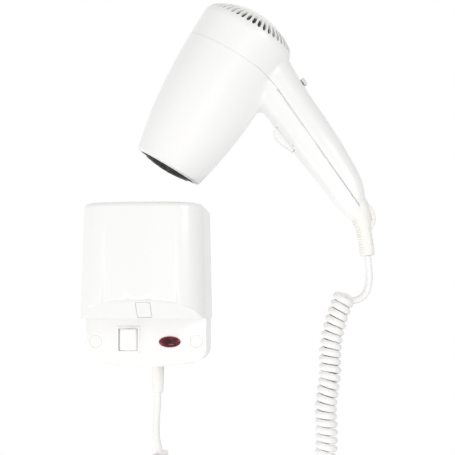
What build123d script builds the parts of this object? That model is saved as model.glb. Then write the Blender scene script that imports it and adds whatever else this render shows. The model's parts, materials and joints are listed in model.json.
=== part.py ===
from build123d import *
import math
import os

# Wall-mounted hair dryer, in millimetres.
# World frame: the wall is the plane Y = 0, the room is towards -Y, +Z is up, the holder is centred on X = 0.
# Dryer frame: Z runs from the nozzle rim back along the barrel, X points to the handle, Y as in the world.
# Grip frame: X runs down the handle from the barrel axis, Z points to the handle's rear edge.

# ---------------------------------------------------------------- barrel
BARREL_LENGTH = 158.0
BARREL_RADIUS = 43.8
NOZZLE_RADIUS = 32.1
LIP_ROUND = 3.6
BELLY_AT = 104.0          # where the barrel reaches its full radius
SHOULDER_ROUND = 14.0
DOME_ROUND = 66.0
SHELL_WALL = 2.2
SEAM_AT = 112.0           # parting plane of the two shells on the barrel
MOUTH_RADIUS = 27.3
MOUTH_DEPTH = 5.0
SLOT_COUNT = 48
SLOT_MARGIN = 1.5         # from the barrel's side to the slots' outer ends
SLOT_LENGTH = 12.3
SLOT_WIDTH = 3.2          # at the outer end
SLOT_TIP = 1.9            # at the inner end
SEAM_ROUND = 60.0         # bend of the parting surface from the barrel into the handle
GROOVE_WIDTH = 0.3        # shadow gap along the parting line
GROOVE_DEPTH = 0.4

# ---------------------------------------------------------------- handle
GRIP_LEAN = 24.25
GRIP_START = 129.8        # where the handle's axis meets the barrel's axis
GRIP_END = 163.0          # distance of the handle's end face from the barrel's axis
GRIP_FIRST = 18.0         # place of the first section along the handle
GRIP_STEP = 14.0          # from each section to the next
GRIP_SECTIONS = [         # half depth, half width, shift of the middle to the rear
    (26.4, 22.8, 0.0),
    (24.4, 21.2, 0.15),
    (22.85, 19.95, 0.3),
    (21.75, 18.9, 0.3),
    (21.0, 18.1, 0.3),
    (20.6, 17.6, 0.35),
    (20.35, 17.15, 0.4),
    (19.85, 16.7, 0.4),
    (18.85, 16.1, 0.35),
    (17.55, 15.35, 0.2),
    (16.3, 14.5, -0.6),
    (13.3, 12.7, -2.75),
    (8.6, 8.2, -5.2),
]
CROTCH_ROUND = 5.0
CROTCH_BEFORE = 14.0      # the handle's root lies this far inside the barrel's radius
CROTCH_AFTER = 16.0       # and this far outside it
END_WALL = 2.6

# ---------------------------------------------------------------- trigger, switches and screws in the handle
TRIGGER_TOP = 81.5
TRIGGER_LENGTH = 24.4
TRIGGER_HALF_WIDTH = 6.5
TRIGGER_PROUD = 5.2
TRIGGER_GAP = 0.5
TRIGGER_INNER = 12.4      # depth of the trigger's inner face, from the grip axis
TRIGGER_WALL = 2.4
TRIGGER_ROUND = 1.6
TRIGGER_STEP = 1.4        # how far its lower end stands out of the handle
FOOT_HALF = 2.0
PIVOT_FROM_END = 3.4
PIVOT_DEPTH = 16.0
PIN_RADIUS = 1.5
PIN_FIT = 0.05
PIN_REACH = 2.5           # how far the pin enters the ear on each side
EAR_RADIUS = 3.2
SWITCH_LENGTH = 19.8
SWITCH_DEPTH = 9.0
SWITCH_THICK = 6.4
SWITCH_BACK = 0.3         # its rear face, from the handle's axis
SHELF_THICK = 2.0
PLUNGER_RADIUS = 1.2
PLUNGER_AT = 7.0          # from the trigger's top
PLUNGER_REACH = 2.0       # into the switch at rest
TOUCH_GAP = 0.25
KNOB_AT = 60.6
KNOB_LENGTH = 6.4
KNOB_HALF_WIDTH = 4.5
KNOB_PROUD = 2.6
KNOB_LIFT = 0.35          # gap between the knob and the handle
KNOB_RIB = 0.7
KNOB_RIB_PITCH = 1.9
KNOB_TRAVEL = 8.0
KNOB_STEM = 3.0
STEM_GAP = 0.3
SLIDER_LENGTH = 22.0
SLIDER_HALF_WIDTH = 5.0
SLIDER_DEPTH = 6.0
SLIDER_ROOM = 2.4         # between the switch and the rear shell
INNER_FIT = 0.05          # between inner pieces and the shells they are held by
SCREW_STATIONS = [124.0, 150.0]
SCREW_RADIUS = 1.5
SCREW_HEAD_RADIUS = 2.9
SCREW_HEAD_HEIGHT = 1.8
SCREW_SEAT = 4.0
SCREW_LENGTH = 12.0
SCREW_ROOM = 0.3          # round the heads
THREAD_FIT = 0.02
CROSS_WIDTH = 0.8         # recess in a screw's head
CROSS_SPAN = 3.4
BOSS_WALL = 1.6

# ---------------------------------------------------------------- air path
GRILLE_RINGS = [(21.4, 1.6), (15.6, 2.6), (9.8, 3.2)]     # radius, how far the ring stands out of the nozzle
GRILLE_RIB = 1.5
GRILLE_DEPTH = 4.0
GRILLE_HUB_RADIUS = 4.2
GRILLE_HUB_PROUD = 3.6
GRILLE_SPOKES = 8
GRILLE_FLANGE = 1.6
SHIELD_GAP = 0.1
SHIELD_WALL = 0.8
SHIELD_LENGTH = 72.0
FORMER_THICK = 1.2
FORMER_LENGTH = 62.0
COIL_RADII = [16.0, 23.5]
COIL_TURNS = 8
COIL_WIRE = 0.6
CUTOUT_SIZE = (9.0, 4.0, 14.0)
DUCT_ROOM = 3.4           # between the duct and the shells
DUCT_WALL = 1.6
DUCT_FIT = 0.15
DUCT_START = 80.0
DUCT_LENGTH = 58.0
VANE_COUNT = 7
VANE_THICK = 1.4
VANE_LENGTH = 22.0
VANE_FROM_START = 14.0    # middle of the vanes behind the front end of the motor
VANE_PITCH = 20.0
MOTOR_RADIUS = 13.8
MOTOR_LENGTH = 34.0
MOTOR_START = 84.0
MOTOR_WALL = 1.2
ROTOR_ROOM = 6.0          # from each end of the can to the armature
BEARING_RADIUS = 5.0
DIODE_HEIGHT = 2.6
DIODE_PLACE = (7.0, 12.0) # from the board's middle
DIODE_HALF_WIDTH = 1.4
CUP_WALL = 1.5
SHAFT_RADIUS = 1.15
SHAFT_FIT = 0.05
ROTOR_RADIUS = 8.6
BOARD_THICK = 1.6
FAN_GAP = 1.8
FAN_HUB_RADIUS = 11.0
FAN_START = 121.5
FAN_LENGTH = 12.0
FAN_BLADES = 9
FAN_PITCH = 38.0
FAN_BLADE_THICK = 1.4
SCREEN_AT = 138.3
SCREEN_THICK = 1.0
SCREEN_RINGS = ((9.0, 6), (17.0, 12), (25.0, 18), (33.0, 24))  # radius of each ring and its holes
SCREEN_HOLE_RADIUS = 2.6

# ---------------------------------------------------------------- where the lifted-out dryer is held
HAND_TILT = 31.0
HAND_X = 18.45
HAND_Y = -48.5
HAND_Z = 103.2
DOCK_TRAVEL = 75.0
DOCK_GAP = 0.4

# ---------------------------------------------------------------- strain relief on the handle
RELIEF_SECTIONS = [       # place in the dryer frame (X, Z), direction (X, Z), half depth, half width
    (163.0, 53.8, 1.00, 0.00, 12.0, 10.2),
    (167.0, 51.4, 0.95, -0.31, 10.0, 9.2),
    (173.0, 45.2, 0.80, -0.60, 7.5, 7.3),
    (182.0, 34.4, 0.690, -0.724, 6.2, 6.0),
    (190.9, 22.8, 0.613, -0.790, 6.1, 5.9),
]
RELIEF_NECK = 5.0
RELIEF_FLANGE = 7.0
RELIEF_FLANGE_THICK = 2.2
RELIEF_FIT = 0.15
CLAMP_AT = 166.0
CLAMP_HALF_LENGTH = 3.0
CLAMP_HALF_DEPTH = 4.6
LOOP_POINTS = [(166.0, 60.5), (176.9, 56.0), (179.6, 41.0)]
LOOP_HALF = 2.1
LOOP_HALF_WIDTH = 2.4

# ---------------------------------------------------------------- holder
HOOD_TOP = 69.0
HOOD_RIM = -30.0
HOOD_TOP_HALF = 52.3
HOOD_RIM_HALF = 54.5
HOOD_TOP_DEPTH = 94.5
HOOD_RIM_DEPTH = 96.0
HOOD_BOW = 10.0
HOOD_CORNER = 28.0
HOOD_WALL = 2.5
HOOD_TOP_ROUND = 4.5
CHIN_FRONT = -15.0        # height of the lower edge of the hood's front
CHIN_SLOPE = 38.7
MOUTH_MARGIN = 4.2
MOUTH_FRONT_MARGIN = 5.4
MOUTH_BACK = 8.5
PLATE_THICK = 3.0
PLATE_HALF = 50.0
PLATE_GAP = 0.4
BOX_HALF = 53.4
BOX_DEPTH = 50.0
BOX_CORNER_Z = -66.3
BOX_BOTTOM = -72.4
BOX_CORNER = 12.0
BOX_WALL = 2.5
BOX_EDGE = 0.8
CUP_SIDE_GAP = 0.4
CUP_THICK = 2.0
CUP_VENT = 24.0
RAIL_X = 30.0             # ribs on the wall plate that carry the cup
RAIL_HALF = 2.0
RAIL_TOP = 62.0
WALL_HOLE_X = 38.0
WALL_HOLE_TOP = 50.0
WALL_HOLE_LOW = -20.0
WALL_HOLE_RADIUS = 2.4
ENTRY_X = -33.0
ENTRY_Z = -42.0
ENTRY_RADIUS = 8.0
WELL_X = 44.5
WELL_Z = -50.4
WELL_RADIUS = 5.4
WELL_BORE = 4.7
WELL_WALL = 1.4
WELL_FLOOR = 14.0
POST_RADIUS = 4.0
CAP_THICK = 3.0
CAP_SINK = 0.1
CAP_FIT = 0.12
COVER_SCREW_RADIUS = 1.7
COVER_HEAD_RADIUS = 4.2
COVER_HEAD_HEIGHT = 2.4
COVER_SCREW_LENGTH = 10.0

# ---------------------------------------------------------------- switch and lamp on the holder
ROCKER_X = -15.7
ROCKER_Z = -48.9
BEZEL_WIDTH = 21.0
BEZEL_HEIGHT = 23.6
BEZEL_PROUD = 1.2
BEZEL_ROUND = 0.9
BEZEL_LIP = 0.9           # how far the frame covers the panel round its body
SWITCH_TAB = 6.0
TAB_HALF_THICK = 0.4
TAB_HALF_HEIGHT = 2.4
AXLE_SEAT = 0.8           # how far the rocker's stub axles reach into the body
ROCKER_FLOOR = 1.5        # body's floor above the lowest point of the rocker's round
ROCKER_UNDERSIDE = 3.2    # flat underside of the rocker behind its axle
ROCKER_WIDTH = 18.7       # along its upright axle
ROCKER_REACH = 8.1        # from the axle to either side
ROCKER_PIVOT = 0.6        # depth of the pivot behind the panel's face
ROCKER_TIP = 10.0
ROCKER_CREST = 3.4
ROCKER_ROUND = 2.0
ROCKER_GAP = 0.3
ROCKER_BODY_DEPTH = 17.0
LAMP_X = 21.0
LAMP_Z = -50.7
LAMP_HALF_WIDTH = 9.45
LAMP_HALF_HEIGHT = 4.75
LAMP_PROUD = 0.6
LAMP_DOME = 2.4
LAMP_SPREAD = 1.25        # size of the dome's ellipsoid against the lens, which it meets at a rim
LAMP_FLANGE = 1.4
LAMP_FLANGE_THICK = 1.5
LAMP_FIT = 0.1
LAMP_BODY_RADIUS = 4.6
LAMP_BODY_LENGTH = 16.0

# ---------------------------------------------------------------- hood latch, gland, terminals
LATCH_X = 2.7
LATCH_WIDTH = 12.0
LATCH_START = 2.4
LATCH_LENGTH = 20.6
LATCH_GAP = 0.3
LATCH_RAISE = 0.2
LATCH_PIN_RADIUS = 0.7
LATCH_PIN_REACH = 1.2
LATCH_CATCH = 5.5         # how far the catch stands behind the hood's wall
GLAND_X = 7.3
GLAND_Y = -22.0
GLAND_RADIUS = 5.75
GLAND_FIT = 0.1
GLAND_END_RADIUS = 5.1
GLAND_LENGTH = 24.2
GLAND_FLANGE = 7.6
GLAND_FLANGE_THICK = 2.4
ANCHOR_HALF = 8.0
ANCHOR_RISE = 7.4         # from the box's bottom to the anchor
ANCHOR_TALL = 4.5
BLOCK_SIZE = (28.0, 14.0, 12.0)
BLOCK_X = -6.0
BLOCK_Z = -40.0
BLOCK_POLES = 3
BLOCK_BORE = 2.4
BLOCK_BORE_DEPTH = 6.0
BLOCK_SCREW_SINK = 1.5
BLOCK_SCREW_RADIUS = 2.3

# ---------------------------------------------------------------- cord
WIRE_RADIUS = 3.1
CURL_RADIUS = 9.75
TAIL_TOP = [              # from the boot's end down and back to the coil
    (193.9, -48.5, 24.3), (195.2, -48.3, 13.0), (195.5, -48.1, 1.9), (193.2, -47.2, -7.2),
    (187.5, -45.4, -13.9), (179.1, -43.4, -15.1),
]
CURL_SPINE = [            # middle of the coiled length, from the dryer round to the holder
    (174.0, -48.5, -10.6), (169.4, -48.5, -21.8), (164.8, -48.5, -35.8), (161.6, -48.6, -50.0),
    (160.6, -48.9, -64.5), (161.0, -49.0, -79.0), (158.4, -48.8, -93.8), (156.4, -48.0, -109.0),
    (157.8, -47.0, -127.0), (157.0, -45.5, -149.0), (151.5, -43.5, -172.0), (141.0, -41.0, -193.0),
    (125.0, -38.5, -210.0), (105.0, -36.5, -220.5), (83.0, -34.5, -223.0), (61.0, -33.0, -217.0),
    (41.0, -31.5, -204.0), (21.5, -30.0, -186.5), (12.0, -29.0, -168.0), (9.0, -28.0, -150.5),
]
TAIL_LOW = [              # from the holder's gland down to the coil
    (7.3, -22.0, -97.0), (7.3, -22.0, -108.5), (6.2, -22.6, -120.0), (6.1, -24.0, -131.0),
    (7.4, -26.0, -141.5), (10.4, -28.4, -151.0),
]
INNER_CORD = [(7.3, -22.0, -97.0), (7.3, -22.0, -54.6), (5.3, -15.0, -50.5)]

# ---------------------------------------------------------------- frames
TILT = math.radians(HAND_TILT)
LEAN = math.radians(GRIP_LEAN)
HAND = Plane(
    origin=(HAND_X, HAND_Y, HAND_Z),
    x_dir=(math.cos(TILT), 0, -math.sin(TILT)),
    z_dir=(math.sin(TILT), 0, math.cos(TILT)),
)
GRIP = Plane(
    origin=(0, 0, GRIP_START),
    x_dir=(math.cos(LEAN), 0, -math.sin(LEAN)),
    z_dir=(math.sin(LEAN), 0, math.cos(LEAN)),
)
FAR = 400.0
ACROSS = FAR / 8          # crosses the handle but not the whole dryer

SHIELD_RADIUS = NOZZLE_RADIUS - SHELL_WALL - SHIELD_WALL - SHIELD_GAP
DUCT_RADIUS = BARREL_RADIUS - SHELL_WALL - DUCT_ROOM
FAN_RADIUS = DUCT_RADIUS - DUCT_WALL - FAN_GAP
TRIGGER_PIVOT = TRIGGER_TOP + TRIGGER_LENGTH - PIVOT_FROM_END
HOOD_TAPER = (HOOD_TOP_DEPTH - HOOD_RIM_DEPTH) / (HOOD_TOP - HOOD_RIM)
CHIN_DEPTH = HOOD_RIM_DEPTH + HOOD_TAPER * (CHIN_FRONT - HOOD_RIM)


def block(x, y, z):
    """A box from its limits along each axis."""
    return Pos((x[0] + x[1]) / 2, (y[0] + y[1]) / 2, (z[0] + z[1]) / 2) * Box(
        x[1] - x[0], y[1] - y[0], z[1] - z[0]
    )


def span(middle, half):
    """Limits of a length about its middle."""
    return middle - half, middle + half


def rod(start, end, radius):
    """A cylinder between two points."""
    start, end = Vector(*start), Vector(*end)
    plane = Plane(origin=start, z_dir=(end - start).normalized())
    on_end = (Align.CENTER, Align.CENTER, Align.MIN)
    return plane.location * Cylinder(radius, (end - start).length, align=on_end)


def turned(points):
    """A solid of revolution about Z from (radius, height) points."""
    outline = Polyline(*[(r, 0, z) for r, z in points], close=True)
    return revolve(make_face(outline), axis=Axis.Z)


def tube(inner, outer, low, high):
    return turned([(inner, low), (outer, low), (outer, high), (inner, high)])


def in_hand(part):
    return HAND.location * part


def in_grip(part):
    return GRIP.location * part


# ---------------------------------------------------------------- barrel and handle forms
DOME_CENTRE = BARREL_LENGTH - DOME_ROUND
SHOULDER_R = BARREL_RADIUS - SHOULDER_ROUND
SHOULDER_Z = DOME_CENTRE + math.sqrt((DOME_ROUND - SHOULDER_ROUND) ** 2 - SHOULDER_R**2)
FLARE_RISE = BARREL_RADIUS - NOZZLE_RADIUS
FLARE_RUN = BELLY_AT - LIP_ROUND
FLARE_ROUND = (FLARE_RUN**2 + FLARE_RISE**2) / (2 * FLARE_RISE)
FLARE_CENTRE = BARREL_RADIUS - FLARE_ROUND


def arc_about(centre, radius, start, end):
    """An arc in the XZ plane about a centre, between two angles in degrees from +X."""
    angles = [math.radians(a) for a in (start, (start + end) / 2, end)]
    points = [(centre[0] + radius * math.cos(a), 0, centre[1] + radius * math.sin(a)) for a in angles]
    return ThreePointArc(*points)


def barrel_form(inset=0.0, floor=0.0):
    """The barrel as a solid of revolution; an inset form is the space inside the shell."""
    lip = LIP_ROUND if inset == 0 else 0.0
    low = max(floor, lip)
    dip = math.degrees(math.asin((low - BELLY_AT) / (FLARE_ROUND - inset)))
    meet = math.degrees(math.atan2(SHOULDER_Z - DOME_CENTRE, SHOULDER_R))
    flare = arc_about((FLARE_CENTRE, BELLY_AT), FLARE_ROUND - inset, dip, 0)
    side = Line(flare @ 1, (BARREL_RADIUS - inset, 0, SHOULDER_Z))
    shoulder = arc_about((SHOULDER_R, SHOULDER_Z), SHOULDER_ROUND - inset, 0, meet)
    dome = arc_about((0, DOME_CENTRE), DOME_ROUND - inset, meet, 90)
    edge = flare @ 0
    if lip:
        rim = arc_about((edge.X - lip, low), lip, -90, 0)
        lines = [Line((0, 0, low - lip), rim @ 0), rim]
    else:
        lines = [Line((0, 0, low), edge)]
    lines += [flare, side, shoulder, dome, Line(dome @ 1, lines[0] @ 0)]
    return revolve(make_face(lines), axis=Axis.Z)


def grip_form(inset=0.0):
    """The handle as a loft through its sections, cut square to the barrel at its end."""
    sections = []
    for i, (half_depth, half_width, shift) in enumerate(GRIP_SECTIONS):
        plane = Plane(origin=(GRIP_FIRST + i * GRIP_STEP, 0, shift), x_dir=(0, 1, 0), z_dir=(1, 0, 0))
        sections.append(plane * Ellipse(half_width - inset, half_depth - inset))
    end = GRIP_END - (END_WALL if inset else 0.0)
    return in_grip(loft(sections)) & block((-FAR, end), (-FAR, FAR), (-FAR, FAR))


def grip_middle(distance):
    """Half depth of the handle and the shift of its middle, at a distance along it."""
    steps = (distance - GRIP_FIRST) / GRIP_STEP
    i = max(0, min(int(steps), len(GRIP_SECTIONS) - 2))
    (depth0, _, shift0), (depth1, _, shift1) = GRIP_SECTIONS[i], GRIP_SECTIONS[i + 1]
    share = steps - i
    return depth0 + (depth1 - depth0) * share, shift0 + (shift1 - shift0) * share


def grip_front(distance):
    """Distance from the handle's axis to its front skin."""
    half_depth, shift = grip_middle(distance)
    return half_depth - shift


def grip_rear(distance):
    """Distance from the handle's axis to its rear skin."""
    half_depth, shift = grip_middle(distance)
    return half_depth + shift


def front_region(offset=0.0):
    """Everything on the nozzle's side of the parting surface, or of one moved towards the nozzle."""
    height = SEAM_AT - offset
    start = GRIP_START - offset / math.cos(LEAN)
    corner = (start - height) / math.tan(LEAN)
    far = (FAR, 0, start - FAR * math.tan(LEAN))
    seam = FilletPolyline((-FAR, 0, height), (corner, 0, height), far, radius=SEAM_ROUND - offset)
    rest = Polyline(far, (FAR, 0, -FAR), (-FAR, 0, -FAR), (-FAR, 0, height))
    return extrude(make_face([*seam.edges(), *rest.edges()]), FAR / 2, both=True, dir=(0, 1, 0))


def dryer_body():
    """Outside of the dryer: barrel and handle with a rounded crotch between them."""
    barrel, grip = barrel_form(), grip_form()
    body = barrel + grip
    near, far = BARREL_RADIUS - CROTCH_BEFORE, BARREL_RADIUS + CROTCH_AFTER
    curves = [e for e in body.edges() if e.length > CROTCH_ROUND * 4 and e.geom_type != GeomType.CIRCLE]
    return fillet([e for e in curves if near < e.center().X < far], CROTCH_ROUND)


def seam_groove(body, region):
    """Shadow gap that the front shell leaves along the parting line."""
    strip = body & (region - front_region(GROOVE_WIDTH))
    return strip - barrel_form(GROOVE_DEPTH) - grip_form(GROOVE_DEPTH)


def intake_slots():
    """Wedge-shaped slots through the shoulder and the dome, pointing at the barrel's axis."""
    outer = BARREL_RADIUS - SLOT_MARGIN
    inner = outer - SLOT_LENGTH
    skin = SHOULDER_Z + math.sqrt(SHOULDER_ROUND**2 - (outer - SHOULDER_R) ** 2)
    floor = skin - SHELL_WALL / 3
    wide = Pos(outer - SLOT_WIDTH / 2, 0) * Circle(SLOT_WIDTH / 2)
    narrow = Pos(inner + SLOT_TIP / 2, 0) * Circle(SLOT_TIP / 2)
    wedge = Pos(0, 0, floor) * extrude(make_hull([*wide.edges(), *narrow.edges()]), BARREL_LENGTH - floor)
    return [Rot(Z=360 * i / SLOT_COUNT) * wedge for i in range(SLOT_COUNT)]


def screw_bosses(front):
    """Posts that the handle screws pass through; the front ones hold the thread."""
    posts = []
    for station in SCREW_STATIONS:
        if front:
            post = rod((station, 0, -ACROSS), (station, 0, 0), SCREW_RADIUS + BOSS_WALL)
        else:
            post = rod((station, 0, 0), (station, 0, ACROSS), SCREW_HEAD_RADIUS + SCREW_ROOM + BOSS_WALL)
        posts.append(post)
    return in_grip(Part() + posts)


def cross_rod(start, end, radius):
    """A cylinder on the trigger's pivot axis."""
    return rod((TRIGGER_PIVOT, start, -PIVOT_DEPTH), (TRIGGER_PIVOT, end, -PIVOT_DEPTH), radius)


def trigger_ears():
    """Bosses on both sides of the trigger that hold its pin."""
    near = TRIGGER_HALF_WIDTH + TRIGGER_GAP
    reach = GRIP_SECTIONS[0][1]
    ears = [cross_rod(side * near, side * reach, EAR_RADIUS) for side in (-1, 1)]
    return in_grip(Part() + ears)


def trigger_opening():
    near = TRIGGER_HALF_WIDTH + TRIGGER_GAP
    low, high = TRIGGER_TOP - TRIGGER_GAP, TRIGGER_TOP + TRIGGER_LENGTH + TRIGGER_GAP
    return in_grip(block((low, high), (-near, near), (-FAR, -TRIGGER_INNER)))


def pin_hole():
    reach = TRIGGER_HALF_WIDTH + PIN_REACH + 2 * PIN_FIT
    return in_grip(cross_rod(-reach, reach, PIN_RADIUS + PIN_FIT))


def front_shell(body, hollow, region):
    """Nozzle, front of the barrel and front half of the handle."""
    shell = (body - hollow - rod((0, 0, -1), (0, 0, MOUTH_DEPTH + 1), MOUTH_RADIUS)) & region
    inside = grip_form(SHELL_WALL / 2)
    shell += (screw_bosses(True) + trigger_ears()) & inside & region
    shell = shell - trigger_opening() - pin_hole() - seam_groove(body, region)
    for station in SCREW_STATIONS:
        thread = rod((station, 0, SCREW_SEAT - SCREW_LENGTH - 1), (station, 0, 1), SCREW_RADIUS + THREAD_FIT)
        shell -= in_grip(thread)
    return shell - relief_neck(RELIEF_FIT)


def knob_track(low, high):
    """Slot that the knob's stem slides in."""
    length = (KNOB_AT - KNOB_STEM, KNOB_AT + KNOB_TRAVEL + KNOB_STEM)
    return block(length, span(0, KNOB_STEM / 2 + STEM_GAP), (low, high))


def rear_shell(body, hollow, region):
    """Slotted rear of the barrel and rear half of the handle."""
    shell = body - hollow - region
    inside = grip_form(SHELL_WALL / 2)
    start = TRIGGER_TOP + 1.0
    shelf = block((start, start + SWITCH_LENGTH + 2), (-FAR, FAR), (SWITCH_BACK, SWITCH_BACK + SHELF_THICK))
    shell += (screw_bosses(False) + in_grip(shelf)) & inside - region
    for station in SCREW_STATIONS:
        shell -= in_grip(rod((station, 0, -1), (station, 0, SCREW_SEAT + 1), SCREW_RADIUS + 0.2))
        shell -= in_grip(rod((station, 0, SCREW_SEAT), (station, 0, ACROSS), SCREW_HEAD_RADIUS + SCREW_ROOM))
    shell -= in_grip(knob_track(grip_rear(KNOB_AT) / 2, ACROSS))
    shell -= intake_slots()
    return shell - relief_neck(RELIEF_FIT)


# ---------------------------------------------------------------- air path
def outlet_grille():
    """Black grille: a flanged ring, stepped inner rings, a hub and radial spokes."""
    outer = MOUTH_RADIUS - 0.1
    ring = tube(outer - GRILLE_RIB, outer, 0.4, MOUTH_DEPTH + GRILLE_FLANGE)
    flange = tube(outer - GRILLE_RIB, SHIELD_RADIUS + SHIELD_WALL, MOUTH_DEPTH, MOUTH_DEPTH + GRILLE_FLANGE)
    grille = ring + flange
    for radius, proud in GRILLE_RINGS:
        grille += tube(radius - GRILLE_RIB, radius, -proud, GRILLE_DEPTH)
    grille += rod((0, 0, -GRILLE_HUB_PROUD), (0, 0, GRILLE_DEPTH), GRILLE_HUB_RADIUS)
    for i in range(GRILLE_SPOKES // 2):
        spoke = block((-outer + 0.4, outer - 0.4), (-GRILLE_RIB / 2, GRILLE_RIB / 2), (0.8, GRILLE_DEPTH))
        grille += Rot(Z=360 * i / GRILLE_SPOKES) * spoke
    return grille


HEATER_START = MOUTH_DEPTH + GRILLE_FLANGE


def heat_shield():
    return tube(SHIELD_RADIUS, SHIELD_RADIUS + SHIELD_WALL, HEATER_START, HEATER_START + SHIELD_LENGTH)


def coil_places():
    pitch = FORMER_LENGTH / COIL_TURNS
    start = HEATER_START + (SHIELD_LENGTH - FORMER_LENGTH) / 2
    return [(r, start + pitch * (i + 0.5)) for r in COIL_RADII for i in range(COIL_TURNS)]


def heater_former():
    """Two crossed mica boards, notched for the element."""
    start = HEATER_START + (SHIELD_LENGTH - FORMER_LENGTH) / 2
    half = SHIELD_RADIUS - 0.1
    board = block((-half, half), (-FORMER_THICK / 2, FORMER_THICK / 2), (start, start + FORMER_LENGTH))
    former = board + Rot(Z=90) * board
    notch = COIL_WIRE + 0.15
    for radius, z in coil_places():
        former -= Pos(0, 0, z) * Torus(radius, notch)
    return former


def heating_coil():
    return Part() + [Pos(0, 0, z) * Torus(radius, COIL_WIRE) for radius, z in coil_places()]


def thermal_cutout():
    thick, width, height = CUTOUT_SIZE[1], CUTOUT_SIZE[0], CUTOUT_SIZE[2]
    top = HEATER_START + (SHIELD_LENGTH + FORMER_LENGTH) / 2
    return block((2, 2 + width), (FORMER_THICK / 2, FORMER_THICK / 2 + thick), (top - height, top))


def fan_duct():
    """Tube that carries the motor in a cup on guide vanes."""
    end = DUCT_START + DUCT_LENGTH
    duct = tube(DUCT_RADIUS - DUCT_WALL, DUCT_RADIUS, DUCT_START, end)
    seat = tube(SHIELD_RADIUS + SHIELD_WALL + 0.2, DUCT_RADIUS, DUCT_START - 3, DUCT_START)
    lug = tube(DUCT_RADIUS - 0.2, BARREL_RADIUS - SHELL_WALL - DUCT_FIT, SEAM_AT + 2, SEAM_AT + 4)
    cup = tube(MOTOR_RADIUS + 0.1, MOTOR_RADIUS + CUP_WALL, MOTOR_START, MOTOR_START + MOTOR_LENGTH - 4)
    back = tube(MOTOR_RADIUS - 5, MOTOR_RADIUS + CUP_WALL, MOTOR_START - CUP_WALL, MOTOR_START)
    duct += [seat, lug, cup, back]
    middle = (MOTOR_RADIUS + DUCT_RADIUS) / 2
    reach = DUCT_RADIUS - DUCT_WALL - MOTOR_RADIUS - CUP_WALL + 0.8
    for i in range(VANE_COUNT):
        vane = Rot(X=VANE_PITCH) * Box(reach, VANE_THICK, VANE_LENGTH)
        duct += Rot(Z=360 * i / VANE_COUNT) * Pos(middle, 0, MOTOR_START + VANE_FROM_START) * vane
    return duct


def motor_can():
    """Hollow can with a bearing hole at each end."""
    end = MOTOR_START + MOTOR_LENGTH
    bore, inside = SHAFT_RADIUS + SHAFT_FIT, MOTOR_RADIUS - MOTOR_WALL
    return turned([
        (bore, MOTOR_START), (MOTOR_RADIUS, MOTOR_START), (MOTOR_RADIUS, end), (BEARING_RADIUS, end),
        (BEARING_RADIUS, end + 2), (bore, end + 2), (bore, end - MOTOR_WALL), (inside, end - MOTOR_WALL),
        (inside, MOTOR_START + MOTOR_WALL), (bore, MOTOR_START + MOTOR_WALL),
    ])


def motor_armature():
    start, end = MOTOR_START + ROTOR_ROOM, MOTOR_START + MOTOR_LENGTH - ROTOR_ROOM
    return tube(SHAFT_RADIUS, ROTOR_RADIUS, start, end)


def motor_shaft():
    return rod((0, 0, MOTOR_START - 1), (0, 0, FAN_START + FAN_LENGTH + 1), SHAFT_RADIUS)


def rectifier_board():
    face = MOTOR_START - CUP_WALL
    board = tube(4.0, MOTOR_RADIUS, face - BOARD_THICK, face)
    top = face - BOARD_THICK
    for i in range(4):
        board += Rot(Z=90 * i + 45) * block(DIODE_PLACE, span(0, DIODE_HALF_WIDTH), (top - DIODE_HEIGHT, top))
    return board


def fan_impeller():
    """Axial fan: a hub with twisted blades inside the duct."""
    end = FAN_START + FAN_LENGTH
    hub = tube(SHAFT_RADIUS, FAN_HUB_RADIUS, FAN_START, end)
    reach = FAN_RADIUS - FAN_HUB_RADIUS + 2
    limit = tube(FAN_HUB_RADIUS - 2, FAN_RADIUS, FAN_START, end)
    for i in range(FAN_BLADES):
        blade = Pos(FAN_HUB_RADIUS - 2 + reach / 2, 0, (FAN_START + end) / 2)
        blade = blade * Rot(X=90 - FAN_PITCH) * Box(reach, FAN_BLADE_THICK, 2 * FAN_LENGTH)
        hub += (Rot(Z=360 * i / FAN_BLADES) * blade) & limit
    return hub


def intake_screen():
    """Perforated disc that keeps hair out of the fan."""
    disc = rod((0, 0, SCREEN_AT), (0, 0, SCREEN_AT + SCREEN_THICK), DUCT_RADIUS)
    for ring, count in SCREEN_RINGS:
        for i in range(count):
            turn = 2 * math.pi * i / count
            x, y = ring * math.cos(turn), ring * math.sin(turn)
            disc -= rod((x, y, SCREEN_AT - 1), (x, y, SCREEN_AT + SCREEN_THICK + 1), SCREEN_HOLE_RADIUS)
    return disc


# ---------------------------------------------------------------- pieces in the handle
def trigger():
    """Rocking trigger: a crowned cap, hollow behind, with a foot that meets the switch plunger."""
    top, end = TRIGGER_TOP, TRIGGER_TOP + TRIGGER_LENGTH
    skin = grip_front(top)
    crown = skin + TRIGGER_PROUD
    low = -grip_front(end) - TRIGGER_STEP
    middle = (top + end) / 2
    front = Spline((top, 0, -crown + 2.2), (top + 3.4, 0, -crown), (middle, 0, -crown + 0.4), (end, 0, low))
    inner = Polyline(front @ 1, (end, 0, -TRIGGER_INNER), (top, 0, -TRIGGER_INNER), front @ 0)
    body = extrude(make_face([front, *inner.edges()]), TRIGGER_HALF_WIDTH, both=True, dir=(0, 1, 0))
    long = [e for e in body.edges() if e.center().Z < -skin and e.length > TRIGGER_LENGTH / 2]
    body = fillet(long, TRIGGER_ROUND)
    wall, half = TRIGGER_WALL, TRIGGER_HALF_WIDTH - TRIGGER_WALL
    body -= block((top + wall, TRIGGER_PIVOT - EAR_RADIUS), (-half, half), (-skin, 0))
    foot = top + PLUNGER_AT
    body += block(span(foot, FOOT_HALF), span(0, half + wall / 2), (-skin - 1, -TRIGGER_INNER))
    return body - cross_rod(-FAR, FAR, PIN_RADIUS + PIN_FIT)


def trigger_pin():
    reach = TRIGGER_HALF_WIDTH + PIN_REACH
    return cross_rod(-reach, reach, PIN_RADIUS)


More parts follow.
